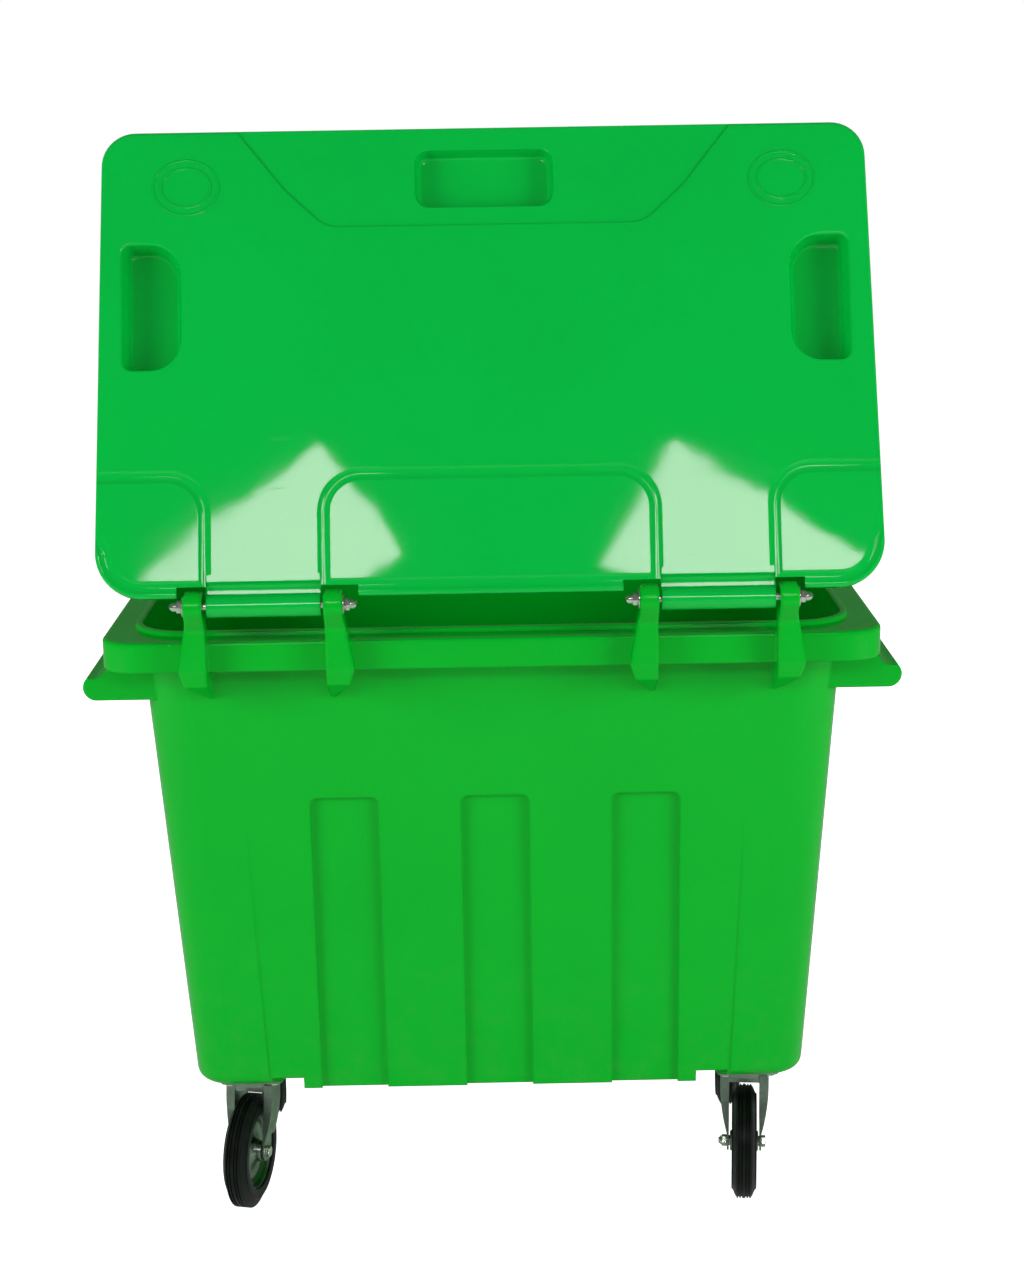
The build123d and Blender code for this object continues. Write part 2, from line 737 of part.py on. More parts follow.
def hinge_barrel():
    """The right-hand barrel and the web that joins it to the lid's face."""
    barrel = along_x(upright(barrel_radius, barrel_length))
    web = box_between((0, 0, lid_face - 2 * lid_skin), (barrel_length, lid_skirt_rear, lid_face))
    channel = along_x(upright(channel_radius, barrel_length))
    web = web - Pos(0, channel_middle, channel_floor + channel_radius) * channel
    high = box_between((0, -barrel_radius, channel_floor), (barrel_length, channel_middle, far))
    return Pos(barrel_inner, 0, 0) * (web - high + barrel)


def hinge_channel():
    """What is cut from the lid's face over a barrel."""
    channel = along_x(upright(channel_radius, barrel_length))
    cut = Pos(0, channel_middle, channel_floor + channel_radius) * channel
    cut = cut + box_between((0, -barrel_radius, channel_floor), (barrel_length, channel_middle, far))
    return Pos(barrel_inner, 0, 0) * cut


def lid():
    """The lid in its own frame, then opened to where it stands."""
    shell = lid_shell()
    for outline, depth in grips():
        shell = shell + pocket_cup(outline, depth)
    for outline, depth in grips():
        shell = shell - pocket(outline, depth)
    for outline, _ in grips():
        shell = fillet(rim_edges(shell, outline), grip_rim_round)
    shell = shell - apron()
    for groove in pad_grooves():
        shell = shell - groove
    for ring in emblem_rings():
        shell = shell + ring + mirror(ring, Plane.YZ)
    outer_low = barrel_outer + notch_side_gap
    outer_notch = box_between((outer_low, 0, -far), (barrel_outer + outer_notch_width, notch_depth, far))
    inner_high = barrel_inner - notch_side_gap
    inner_notch = box_between((barrel_inner - inner_notch_width, 0, -far), (inner_high, notch_depth, far))
    for cut in both_sides(outer_notch) + both_sides(inner_notch):
        shell = shell - cut
    for cut in both_sides(hinge_channel()):
        shell = shell - cut
    for barrel_side in both_sides(hinge_barrel()):
        shell = shell + barrel_side
    shell = shell - along_x(Cylinder(hinge_pin_radius + running_gap, 2 * far))
    return Pos(0, hinge_y, hinge_z) * Rot(90 - lid_lean_back, 0, 0) * shell


def castor_bolts():
    """All sixteen hexagon bolts, heads under the castor plates."""
    head_low = castor_height - plate_thickness - bolt_head
    head = extrude(hexagon(bolt_flats), bolt_head)
    shank = upright(bolt_radius, bolt_head + plate_thickness + insert_length - bolt_end_gap)
    return Compound([place * Pos(0, 0, head_low) * (head + shank) for place in bolt_places()])


def castor_inserts():
    insert = tube(insert_radius, bolt_radius, insert_length)
    return Compound([place * Pos(0, 0, castor_height) * insert for place in bolt_places()])


def castor_plate():
    """The bolted plate with the upper ball race pressed into it."""
    low = castor_height - plate_thickness
    plate = extrude(RectangleRounded(plate_length, plate_depth, plate_corner), plate_thickness)
    plate = Pos(0, 0, low) * plate
    for x, y in rectangle_corners(0, 0):
        plate = plate - Pos(x, y, low) * Cylinder(bolt_radius + bolt_hole_gap, far)
    race_low = race_plane() + 2 * ball_radius + race_gap
    race = Pos(0, 0, race_low) * tube(race_radius, kingpin_radius, low - race_low)
    return plate + race - Cylinder(kingpin_radius, far)


def race_plane():
    """The height of the fork's ball track."""
    return castor_height - plate_thickness - race_depth - 2 * ball_radius


def kingpin():
    """The rivet that holds the fork under the plate."""
    head_low = race_plane() - fork_sheet - kingpin_head - race_gap
    head = Pos(0, 0, head_low) * upright(kingpin_head_radius, kingpin_head)
    length = castor_height - head_low
    shank = Pos(0, 0, head_low) * upright(kingpin_radius, length)
    return head + shank


def ball_ring():
    ball = Pos(ball_circle, 0, race_plane() + ball_radius) * Sphere(ball_radius)
    return Compound([Rot(0, 0, index * 360 / ball_count) * ball for index in range(ball_count)])


def fork_side(braked):
    """A leg's outline from the side, Y forwards, with its holes."""
    head_low = race_plane() - fork_sheet
    crown = head_low + fork_sheet
    half = fork_leg_half
    points = [(-half, crown), (half, crown), (half, head_low - fork_leg_front_drop)]
    points += [(-castor_trail + fork_eye_radius, wheel_z), (-castor_trail - fork_eye_radius, wheel_z)]
    points += [(-half - fork_leg_back, head_low - fork_leg_back_drop)]
    if braked:
        lug_back = -pedal_pivot_back - pedal_lug
        points += [(lug_back, pedal_pivot_z - pedal_lug), (-pedal_pivot_back - pedal_lug_top, crown)]
    side = make_face(Polyline(*points, close=True)) + Pos(-castor_trail, wheel_z) * Circle(fork_eye_radius)
    side = side - Pos(-castor_trail, wheel_z) * Circle(axle_radius + running_gap)
    if braked:
        side = side - Pos(-pedal_pivot_back, pedal_pivot_z) * Circle(pedal_pin_radius)
    return side


def fork_flare():
    """The right-hand outline of the flared head, X out and Y up, down to the plain leg."""
    crown = race_plane()
    leg = fork_gap / 2 + fork_sheet
    low = wheel_z + fork_eye_radius
    shoulder = crown - fork_shoulder
    middle = (leg + (fork_head_radius - leg) * fork_bulge, (shoulder + low) / 2)
    sides = Polyline((leg, low), (fork_gap / 2, low), (fork_gap / 2, crown), (fork_head_radius, crown))
    sides = sides + Line((fork_head_radius, crown), (fork_head_radius, shoulder))
    curve = ThreePointArc((fork_head_radius, shoulder), middle, (leg, low))
    return make_face(Plane.XZ * (sides + curve))


def fork_flange(side):
    """The strip folded out along a leg's rear edge."""
    strip = side - Pos(fork_sheet, 0) * side
    strip = strip & (Pos(-fork_sheet, 0) * Rectangle(far, far, align=(Align.CENTER, Align.MIN)))
    reach = fork_head_radius - fork_gap / 2
    band = extrude(Plane.YZ.offset(fork_gap / 2) * strip, reach)
    return band & extrude(fork_flare(), far / 2, both=True)


def fork(braked):
    """The pressed fork: a dished head and two legs that reach back to the axle."""
    head_low = race_plane() - fork_sheet
    head = Pos(0, 0, head_low) * upright(fork_head_radius, fork_sheet)
    lip_height = fork_sheet + ball_radius
    lip = Pos(0, 0, head_low) * tube(fork_head_radius, fork_head_radius - fork_lip_wall, lip_height)
    leg = extrude(Plane.YZ.offset(fork_gap / 2) * fork_side(braked), fork_sheet)
    cheek = revolve(fork_flare(), Axis.Z) - Box(fork_gap, far, 2 * far)
    flange = fork_flange(fork_side(False))
    stay_low = (-fork_gap / 2, -fork_leg_half, head_low - fork_stay_drop)
    stay = box_between(stay_low, (fork_gap / 2, fork_sheet - fork_leg_half, head_low))
    body = head + lip + stay + cheek + leg + mirror(leg, Plane.YZ) + flange + mirror(flange, Plane.YZ)
    return body - Cylinder(kingpin_radius + running_gap, far)


def axle_bolt():
    """The axle: hexagon head outside the right leg, end through the nut on the left."""
    half = fork_gap / 2 + fork_sheet
    shank = upright(axle_radius, 2 * half + axle_nut + axle_end)
    shank = Pos(-half - axle_nut - axle_end, 0, 0) * along_x(shank)
    head = Pos(half, 0, 0) * along_x(extrude(hexagon(axle_flats), axle_head))
    return Pos(0, -castor_trail, wheel_z) * (shank + head)


def axle_nut_piece():
    half = fork_gap / 2 + fork_sheet
    nut = extrude(hexagon(axle_flats) - Circle(axle_radius), axle_nut)
    return Pos(-half, -castor_trail, wheel_z) * Rot(0, -90, 0) * nut


def at_axle(outer, inner, length):
    """A tube centred on the wheel, along the axle."""
    ring = tube(outer, inner, length)
    return Pos(-length / 2, -castor_trail, wheel_z) * along_x(ring)


def axle_sleeve():
    return at_axle(sleeve_radius, axle_radius, fork_gap)


def roller_bearing():
    return at_axle(bearing_radius, sleeve_radius + running_gap, hub_length)


def turned(points):
    """A shape turned round the axle from (radius, x) points."""
    profile = make_face(Polyline(*[(x, radius) for radius, x in points], close=True))
    return Pos(0, -castor_trail, wheel_z) * revolve(profile, Axis.X)


def wheel_disc():
    """The pressed wheel centre: hub tube, dished web and rim."""
    hub = hub_length / 2
    edge = wheel_rim_width / 2
    web = web_thickness / 2
    inner = wheel_rim_radius - wheel_rim_skin
    right = [(bearing_radius, hub), (hub_radius, hub), (hub_radius + hub_fillet, 2 * web)]
    right += [(hub_radius + web_inner, web), (inner - web_outer, web)]
    right += [(inner, edge - wheel_rim_edge), (wheel_rim_radius, edge)]
    left = [(radius, -x) for radius, x in reversed(right)]
    return turned(right + left)


def tyre():
    """The solid rubber tyre with its bevelled shoulders."""
    half = tyre_width / 2
    tread = tread_width / 2
    shoulder = wheel_radius - shoulder_drop
    right = [(wheel_rim_radius, half - tyre_bead), (wheel_rim_radius + tyre_bead_height, half)]
    right += [(shoulder, half), (shoulder + shoulder_step, half - shoulder_step)]
    right += [(wheel_radius - tread_edge_drop, tread), (wheel_radius, tread - tread_edge)]
    left = [(radius, -x) for radius, x in reversed(right)]
    return turned(right + left)


def pedal_pin():
    half = fork_gap / 2 + fork_sheet + pedal_pin_end
    pin = Cylinder(pedal_pin_radius, 2 * half)
    return Pos(0, -pedal_pivot_back, pedal_pivot_z) * along_x(pin)


def brake_pedal():
    """The foot lever of a braked castor, in its released place."""
    half = pedal_width / 2
    knuckle = Circle(pedal_pin_radius + pedal_knuckle_wall)
    knuckle = extrude(Plane.YZ.offset(-half) * knuckle, pedal_width)
    plate = box_between((-half, -pedal_reach, -pedal_plate / 2), (half, 0, pedal_plate / 2))
    plate = fillet(plate.edges().filter_by(Axis.Z).group_by(Axis.Y)[0], pedal_corner)
    lever = Rot(pedal_slope, 0, 0) * plate + knuckle
    lever = lever - along_x(Cylinder(pedal_pin_radius + running_gap, far))
    return Pos(0, -pedal_pivot_back, pedal_pivot_z) * lever


def drain_plug():
    """The bayonet plug, in its boss from below, with a grip bar."""
    neck = upright(drain_radius, floor_top - drain_low - drain_end_gap)
    neck = neck - Pos(0, 0, drain_flange) * upright(drain_radius - drain_wall, far)
    flange = Pos(0, 0, -drain_flange) * upright(drain_radius + drain_flange_reach, drain_flange)
    grip = Box(2 * drain_radius, drain_grip_width, drain_grip_height)
    grip = Pos(0, 0, -drain_flange - drain_grip_height / 2) * grip
    return Pos(0, drain_y, drain_low) * (neck + flange + grip)


def drain_seal():
    inner = drain_radius + drain_seal_gap
    return Pos(0, drain_y, drain_low) * tube(inner + drain_seal_width, inner, drain_seal_height)


nodes = {
    "tub": tub(),
    "lid": lid(),
    "hinge_pin_left": mirror(hinge_pin(), Plane.YZ),
    "hinge_pin_right": hinge_pin(),
    "hinge_washers": hinge_ends(tube(washer_radius, hinge_pin_radius + running_gap, washer_thickness), 0),
    "hinge_cap_nuts": hinge_ends(cap_nut(), washer_thickness),
    "castor_bolts": castor_bolts(),
    "castor_inserts": castor_inserts(),
    "drain_plug": drain_plug(),
    "drain_seal": drain_seal(),
}
for place_name, place_x, place_y, swivel in castor_places():
    fixed = Pos(place_x, place_y, 0)
    swung = Pos(place_x, place_y, 0) * Rot(0, 0, swivel)
    braked_castor = place_name.startswith("front")
    nodes["castor_plate_" + place_name] = fixed * castor_plate()
    nodes["castor_kingpin_" + place_name] = fixed * kingpin()
    nodes["castor_balls_" + place_name] = swung * ball_ring()
    nodes["castor_fork_" + place_name] = swung * fork(braked_castor)
    nodes["castor_axle_" + place_name] = swung * axle_bolt()
    nodes["castor_axle_nut_" + place_name] = swung * axle_nut_piece()
    nodes["castor_sleeve_" + place_name] = swung * axle_sleeve()
    nodes["castor_bearing_" + place_name] = swung * roller_bearing()
    nodes["castor_wheel_" + place_name] = swung * wheel_disc()
    nodes["castor_tyre_" + place_name] = swung * tyre()
    if braked_castor:
        nodes["brake_pin_" + place_name] = swung * pedal_pin()
        nodes["brake_pedal_" + place_name] = swung * brake_pedal()

os.makedirs("parts", exist_ok=True)
for node_name, node_shape in nodes.items():
    export_step(node_shape, "parts/" + node_name + ".step")
print(len(nodes), "nodes")
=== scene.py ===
import json
import math

import bmesh
import bpy
from mathutils import Matrix, Quaternion, Vector


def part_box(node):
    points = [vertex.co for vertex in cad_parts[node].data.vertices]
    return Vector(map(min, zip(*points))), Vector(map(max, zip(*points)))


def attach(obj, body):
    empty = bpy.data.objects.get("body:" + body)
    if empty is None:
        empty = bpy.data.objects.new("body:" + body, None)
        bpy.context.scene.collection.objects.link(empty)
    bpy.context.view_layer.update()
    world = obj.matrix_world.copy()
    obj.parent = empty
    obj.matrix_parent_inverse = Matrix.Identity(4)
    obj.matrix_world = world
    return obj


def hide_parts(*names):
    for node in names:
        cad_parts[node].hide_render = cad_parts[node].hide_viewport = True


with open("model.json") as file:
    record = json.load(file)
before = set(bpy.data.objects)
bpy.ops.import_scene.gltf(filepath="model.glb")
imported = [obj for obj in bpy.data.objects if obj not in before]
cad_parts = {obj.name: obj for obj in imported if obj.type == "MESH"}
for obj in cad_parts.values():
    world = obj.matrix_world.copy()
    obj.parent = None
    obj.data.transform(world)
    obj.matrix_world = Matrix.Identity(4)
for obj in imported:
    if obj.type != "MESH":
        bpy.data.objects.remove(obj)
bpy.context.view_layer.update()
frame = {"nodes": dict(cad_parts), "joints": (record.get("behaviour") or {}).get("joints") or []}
nodes = frame["nodes"]
joints = {joint["name"]: joint for joint in frame["joints"]}


def mm(value):
    return value / 1000


def colour(red, green, blue):
    return (red, green, blue, 1.0)


def darker(paint, share):
    return tuple(level * share for level in paint[:3]) + (1.0,)


class Value:
    # one output socket, so that shader maths reads as an ordinary expression
    def __init__(self, shader, socket):
        self.shader = shader
        self.socket = socket

    def combine(self, operation, first, second):
        return self.shader.node("ShaderNodeMath", {"operation": operation}, {0: first, 1: second})

    def __add__(self, other):
        return self.combine("ADD", self, other)

    def __sub__(self, other):
        return self.combine("SUBTRACT", self, other)

    def __rsub__(self, other):
        return self.combine("SUBTRACT", other, self)

    def __mul__(self, other):
        return self.combine("MULTIPLY", self, other)


class Shader:
    # a new material: its Principled BSDF, and the ways to add nodes in front of it
    def __init__(self, name):
        self.material = bpy.data.materials.new(name)
        self.material.use_nodes = True
        self.tree = self.material.node_tree
        self.surface = next(one for one in self.tree.nodes if one.type == "BSDF_PRINCIPLED")
        self.place = self.node("ShaderNodeTexCoord", output="Object")

    def node(self, kind, settings=None, inputs=None, output=0):
        made = self.tree.nodes.new(kind)
        for key, value in (settings or {}).items():
            if key == "stops":
                stops = made.color_ramp.elements
                while len(stops) < len(value):
                    stops.new(0.5)
                for stop, (position, level) in zip(stops, value):
                    stop.position = position
                    stop.color = (level, level, level, 1.0)
            else:
                setattr(made, key, value)
        for key, value in (inputs or {}).items():
            self.feed(made.inputs[key], value)
        return Value(self, made.outputs[output])

    def feed(self, socket, value):
        if isinstance(value, Value):
            self.tree.links.new(value.socket, socket)
        else:
            socket.default_value = value

    def set(self, **values):
        for key, value in values.items():
            self.feed(self.surface.inputs[key.replace("_", " ")], value)

    def noise(self, scale, detail=2.0, rough=0.5, stretch=None):
        place = self.place
        if stretch:
            place = self.node("ShaderNodeMapping", {}, {"Vector": place, "Scale": stretch})
        inputs = {"Vector": place, "Scale": scale, "Detail": detail, "Roughness": rough}
        return self.node("ShaderNodeTexNoise", {}, inputs)

    def ramp(self, value, *stops):
        return self.node("ShaderNodeValToRGB", {"stops": stops}, {"Fac": value})

    def between(self, value, low, high):
        # 0 below low, 1 above high
        return self.ramp(value, (low, 0.0), (high, 1.0))

    def mix(self, factor, first, second):
        # this node's colour sockets are 6 and 7 in, 2 out
        inputs = {0: factor, 6: first, 7: second}
        return self.node("ShaderNodeMix", {"data_type": "RGBA"}, inputs, output=2)

    def bump(self, height, strength, distance, normal):
        inputs = {"Height": height, "Strength": strength, "Distance": distance, "Normal": normal}
        return self.node("ShaderNodeBump", {}, inputs)

    def softEdges(self, radius):
        return self.node("ShaderNodeBevel", {"samples": 6}, {"Radius": radius})

    def height(self):
        return self.node("ShaderNodeSeparateXYZ", {}, {0: self.place}, output=2)


plasticLook = {
    # colour, roughness, shine and how far edges look rounded
    "lid": (colour(0.0, 0.505, 0.053), 0.025, 0.32, mm(2.4)),
    "tub": (colour(0.0, 0.475, 0.021), 0.11, 0.17, mm(6.0)),
    "plug": (colour(0.0, 0.16, 0.018), 0.34, 0.20, mm(1.0)),
    "scuff": colour(0.25, 0.58, 0.30),
    "dust": colour(0.26, 0.27, 0.20),
    "dustTop": 0.33,         # dust lies below this height
}


def glossPlastic(name, green, gloss, shine, softness):
    # moulded polyethylene: soft sink waves, orange peel, cloudy gloss, hair scratches and dust low down
    look = plasticLook
    shader = Shader(name)
    cloud = shader.between(shader.noise(3.2, 3.0), 0.35, 0.7)
    peel = shader.noise(340.0, 2.0)
    wave = shader.noise(5.5, 2.0, 0.4)
    scratch = shader.between(shader.noise(11.0, 6.0, 0.72, (1.0, 1.0, 26.0)), 0.66, 0.70)
    cross = shader.between(shader.noise(13.0, 6.0, 0.72, (24.0, 1.0, 1.0)), 0.67, 0.71)
    rubbed = shader.between(shader.noise(4.5, 5.0, 0.6), 0.5, 0.75)
    scuff = (scratch + cross) * rubbed
    low = shader.ramp(shader.height(), (look["dustTop"] - 0.09, 1.0), (look["dustTop"] + 0.25, 0.0))
    grime = shader.between(shader.noise(30.0, 6.0, 0.7), 0.45, 0.85)
    dust = low * grime * 0.08
    body = shader.mix(cloud, green, darker(green, 0.95))
    body = shader.mix(scuff * 0.12, body, look["scuff"])
    edge = shader.softEdges(softness)
    waved = shader.bump(wave, 0.12, mm(5), edge)
    peeled = shader.bump(peel, 0.015, mm(0.5), waved)
    shader.set(
        Base_Color=shader.mix(dust, body, look["dust"]),
        Roughness=cloud * 0.03 + gloss + scuff * 0.2 + dust * 1.4,
        Normal=shader.bump(1 - scuff, 0.12, mm(0.3), peeled),
        Specular_IOR_Level=shine,
    )
    return shader.material


metalLook = {
    # colour, roughness and stretch of the drawn grain; the green tint in the fastener, castor and wheel
    # colours is a painted reflection of the green plastic, on top of the metal's own grey
    "fastener": (colour(0.70, 0.82, 0.67), 0.16, (1.0, 1.0, 8.0)),
    "castor": (colour(0.28, 0.39, 0.29), 0.28, (1.0, 6.0, 1.0)),
    "wheel": (colour(0.28, 0.39, 0.29), 0.22, (6.0, 1.0, 1.0)),
    "bearing": (colour(0.55, 0.56, 0.55), 0.20, (1.0, 1.0, 4.0)),
    "rust": colour(0.23, 0.12, 0.05),
    "edgeRadius": mm(0.8),
}


def zincSteel(name, look):
    # zinc plate: soft crystal patches, a drawn grain, white bloom and small rust freckles
    # base: the zinc's own grey with a painted reflection of the green plastic mixed in
    base, rough, grain = look
    shader = Shader(name)
    inputs = {"Vector": shader.place, "Scale": 130.0}
    crystal = shader.node("ShaderNodeTexVoronoi", {}, inputs, output=1)
    tone = shader.node("ShaderNodeRGBToBW", {}, {0: crystal})
    cloud = shader.between(shader.noise(34.0, 4.0), 0.3, 0.7)
    drawn = shader.noise(70.0, 3.0, 0.6, grain)
    bloom = shader.between(shader.noise(55.0, 6.0, 0.7), 0.56, 0.8)
    freckle = shader.between(shader.noise(160.0, 4.0, 0.7), 0.68, 0.74)
    body = shader.mix(tone * 0.3 + cloud * 0.3, base, darker(base, 0.66))
    body = shader.mix(bloom * 0.35, body, colour(0.60, 0.62, 0.60))
    shader.set(
        Base_Color=shader.mix(freckle * 0.55, body, metalLook["rust"]),
        Metallic=1 - freckle * 0.7 - bloom * 0.2,
        Roughness=tone * 0.07 + cloud * 0.1 + rough + bloom * 0.2,
        Normal=shader.bump(drawn, 0.14, mm(0.3), shader.softEdges(metalLook["edgeRadius"])),
    )
    return shader.material


rubberLook = {
    "black": colour(0.004, 0.006, 0.0045),
    "worn": colour(0.016, 0.028, 0.018),
    "shine": 0.18,
    "edgeRadius": mm(1.0),
}


def blackRubber(name, rough):
    # black rubber, chalky where it has run on the ground
    shader = Shader(name)
    grain = shader.noise(460.0, 3.0)
    worn = shader.between(shader.noise(42.0, 6.0, 0.7), 0.42, 0.78)
    speck = shader.between(shader.noise(240.0, 3.0), 0.64, 0.72)
    shader.set(
        Base_Color=shader.mix(worn * 0.45 + speck * 0.3, rubberLook["black"], rubberLook["worn"]),
        Roughness=worn * 0.22 + rough,
        Specular_IOR_Level=rubberLook["shine"],
        Normal=shader.bump(grain, 0.2, mm(0.3), shader.softEdges(rubberLook["edgeRadius"])),
    )
    return shader.material


def turnedBrass(name):
    shader = Shader(name)
    cloud = shader.noise(90.0, 4.0)
    ring = shader.noise(220.0, 2.0, 0.5, (1.0, 1.0, 9.0))
    shader.set(
        Base_Color=shader.mix(cloud, colour(0.72, 0.50, 0.20), colour(0.48, 0.31, 0.11)),
        Metallic=1.0,
        Roughness=cloud * 0.2 + 0.24,
        Normal=shader.bump(ring, 0.15, mm(0.2), shader.softEdges(mm(0.4))),
    )
    return shader.material


materials = {
    "lid_plastic": glossPlastic("lid_plastic", *plasticLook["lid"]),
    "tub_plastic": glossPlastic("tub_plastic", *plasticLook["tub"]),
    "plug_plastic": glossPlastic("plug_plastic", *plasticLook["plug"]),
    "fastener_zinc": zincSteel("fastener_zinc", metalLook["fastener"]),
    "castor_zinc": zincSteel("castor_zinc", metalLook["castor"]),
    "wheel_steel": zincSteel("wheel_steel", metalLook["wheel"]),
    "bearing_steel": zincSteel("bearing_steel", metalLook["bearing"]),
    "tyre_rubber": blackRubber("tyre_rubber", 0.34),
    "seal_rubber": blackRubber("seal_rubber", 0.5),
    "insert_brass": turnedBrass("insert_brass"),
}
for node in nodes.values():
    for slot in node.material_slots:
        slot.material = materials[slot.material.name.split(".")[0]]
print("materials on", len(nodes), "nodes")


def wheelPlace(corner):
    # the matrix that puts a piece made along X, at the origin, on a castor's axle
    joint = joints["wheel_roll_" + corner]
    along = Vector(joint["axis"]).normalized()
    across = Vector((0, 0, 1)).cross(along)
    turn = Matrix((along, across, (0, 0, 1))).transposed()
    return Matrix.Translation(joint["pos_m"]) @ turn.to_4x4()


def finishPiece(name, bm, body, slot, replaced, sharp=35.0):
    # sharp: edges that bend by more than this, in degrees, stay crisp
    bmesh.ops.remove_doubles(bm, verts=bm.verts[:], dist=1e-6)
    bmesh.ops.recalc_face_normals(bm, faces=bm.faces[:])
    mesh = bpy.data.meshes.new(name)
    bm.to_mesh(mesh)
    bm.free()
    mesh.shade_smooth()
    mesh.set_sharp_from_angle(angle=math.radians(sharp))
    mesh.materials.append(materials[slot])
    piece = bpy.data.objects.new(name, mesh)
    bpy.context.scene.collection.objects.link(piece)
    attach(piece, body)
    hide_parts(*replaced)


def spin(bm, profile, steps, closed=True):
    # turns (radius, x) points, in millimetres, round the X axis: a loop, or a line that ends on the axis
    corners = [bm.verts.new((mm(x), 0, mm(radius))) for radius, x in profile]
    following = corners[1:] + corners[:1] if closed else corners[1:]
    edges = [bm.edges.new(pair) for pair in zip(corners, following)]
    turned = {"cent": (0, 0, 0), "axis": (1, 0, 0), "angle": math.tau, "steps": steps}
    bmesh.ops.spin(bm, geom=corners + edges, use_merge=True, **turned)


def mirrored(points):
    # a right half's outline, closed by its mirror image
    return points + [(radius, -x) for radius, x in reversed(points) if x > 0]


tyreShape = {
    "radius": 100.0,
    "rimRadius": 66.3,
    "halfWidth": 22.0,
    "shoulderRadius": 84.0,
    "treadHalf": 13.0,
    "sideRing": 70.0,        # where the flat of the sidewall starts
    "ribs": [(12.4, 10.2), (7.4, 5.4)],   # the right half's ribs, outer and inner x
    "centreRib": 2.4,
    "grooveDepth": 2.6,
    "steps": 96,
}


def tyreProfile():
    shape = tyreShape
    radius, half, shoulder = shape["radius"], shape["halfWidth"], shape["shoulderRadius"]
    floor = radius - shape["grooveDepth"]
    rim, tread = shape["rimRadius"], shape["treadHalf"]
    points = [(rim, half - 4), (rim + 1, half - 1), (shape["sideRing"], half)]
    points += [(shoulder - 6, half), (shoulder - 5.2, half - 0.8), (shoulder - 4.4, half)]
    points += [(shoulder - 1, half), (shoulder, half - 1), (shoulder + 1.2, half - 2.6)]
    points += [(radius - 8, tread + 3.6), (radius - 3, tread + 0.9), (floor, tread)]
    for outer, inner in shape["ribs"]:
        points += [(floor, outer + 0.5), (radius, outer), (radius, inner), (floor, inner - 0.5)]
    points += [(floor, shape["centreRib"] + 0.5), (radius, shape["centreRib"])]
    return mirrored(points)


def makeTyre(corner):
    bm = bmesh.new()
    spin(bm, tyreProfile(), tyreShape["steps"])
    bmesh.ops.transform(bm, matrix=wheelPlace(corner), verts=bm.verts[:])
    replaced = ["castor_tyre_" + corner]
    finishPiece("tyre_" + corner, bm, "wheel_" + corner, "tyre_rubber", replaced, 25.0)


discShape = {
    "boreRadius": 13.0,
    "hubRadius": 18.0,
    "hubHalf": 25.0,
    "rimRadius": 66.0,
    "rimHalf": 18.0,
    "steps": 80,
}


def makeDisc(corner):
    # two pressings back to back: domed boss, a raised ring and a rolled rim
    shape = discShape
    bore, hub, rim = shape["boreRadius"], shape["hubRadius"], shape["rimRadius"]
    half = shape["hubHalf"]
    points = [(bore, half - 1), (bore + 1, half)]
    points += [(hub - 2.2, half), (hub - 0.6, half - 0.7), (hub, half - 2.4)]
    points += [(hub + 0.4, 17), (hub + 1.6, 12.6), (hub + 4.4, 8.8), (hub + 9, 6), (hub + 15, 4.4)]
    points += [(hub + 20, 4.1), (hub + 24, 4.9), (hub + 28, 7), (hub + 31, 7.6), (hub + 34, 7)]
    points += [(rim - 10, 5), (rim - 6.5, 5.4), (rim - 4.2, 8), (rim - 3.4, 12), (rim - 2.8, 16.4)]
    points += [(rim - 1.6, shape["rimHalf"]), (rim, shape["rimHalf"] - 0.6)]
    bm = bmesh.new()
    spin(bm, mirrored(points), shape["steps"])
    bmesh.ops.transform(bm, matrix=wheelPlace(corner), verts=bm.verts[:])
    replaced = ["castor_wheel_" + corner]
    finishPiece("wheel_disc_" + corner, bm, "wheel_" + corner, "wheel_steel", replaced, 40.0)


def isLevel(edge):
    low, high = (vert.co.z for vert in edge.verts)
    return abs(high - low) < 1e-7


def hexPrism(bm, flats, low, high, chamfer):
    # a hexagon along X with its corners turned off at both ends
    before = set(bm.verts)
    bmesh.ops.create_circle(bm, cap_ends=True, radius=mm(flats / math.sqrt(3)), segments=6)
    face = next(vert for vert in bm.verts if vert not in before).link_faces[0]
    pushed = bmesh.ops.extrude_face_region(bm, geom=[face], use_keep_orig=True)
    top = [item for item in pushed["geom"] if isinstance(item, bmesh.types.BMVert)]
    bmesh.ops.translate(bm, verts=top, vec=(0, 0, mm(high - low)))
    made = [vert for vert in bm.verts if vert not in before]
    ends = [edge for edge in bm.edges if edge.verts[0] in made and isLevel(edge)]
    kept = {"affect": "EDGES", "profile": 0.5, "material": -1, "clamp_overlap": True}
    bmesh.ops.bevel(bm, geom=ends, offset=mm(chamfer), segments=3, **kept)
    made = [vert for vert in bm.verts if vert not in before]
    turn = Matrix.Translation((mm(low), 0, 0)) @ Matrix.Rotation(math.pi / 2, 4, "Y")
    bmesh.ops.transform(bm, matrix=turn, verts=made)


def joinInto(bm, other):
    scratch = bpy.data.meshes.new("scratch")
    bmesh.ops.remove_doubles(other, verts=other.verts[:], dist=1e-6)
    bmesh.ops.recalc_face_normals(other, faces=other.faces[:])
    other.to_mesh(scratch)
    other.free()
    bm.from_mesh(scratch)
    bpy.data.meshes.remove(scratch)


washerShape = {"outer": 17.0, "inner": 6.1, "thickness": 2.5, "round": 0.7}

capNutShape = {
    "flats": 18.0,
    "hexLength": 9.0,
    "length": 21.0,
    "domeRadius": 7.6,
    "flange": 9.6,
    "flangeHeight": 1.3,
    "bore": 6.2,
    "pinEndGap": 3.0,        # the pin's end short of the nut's
    "chamfer": 0.9,
    "flangeSteps": 48,
    "domeSteps": 40,
    "domeRings": 8,
}


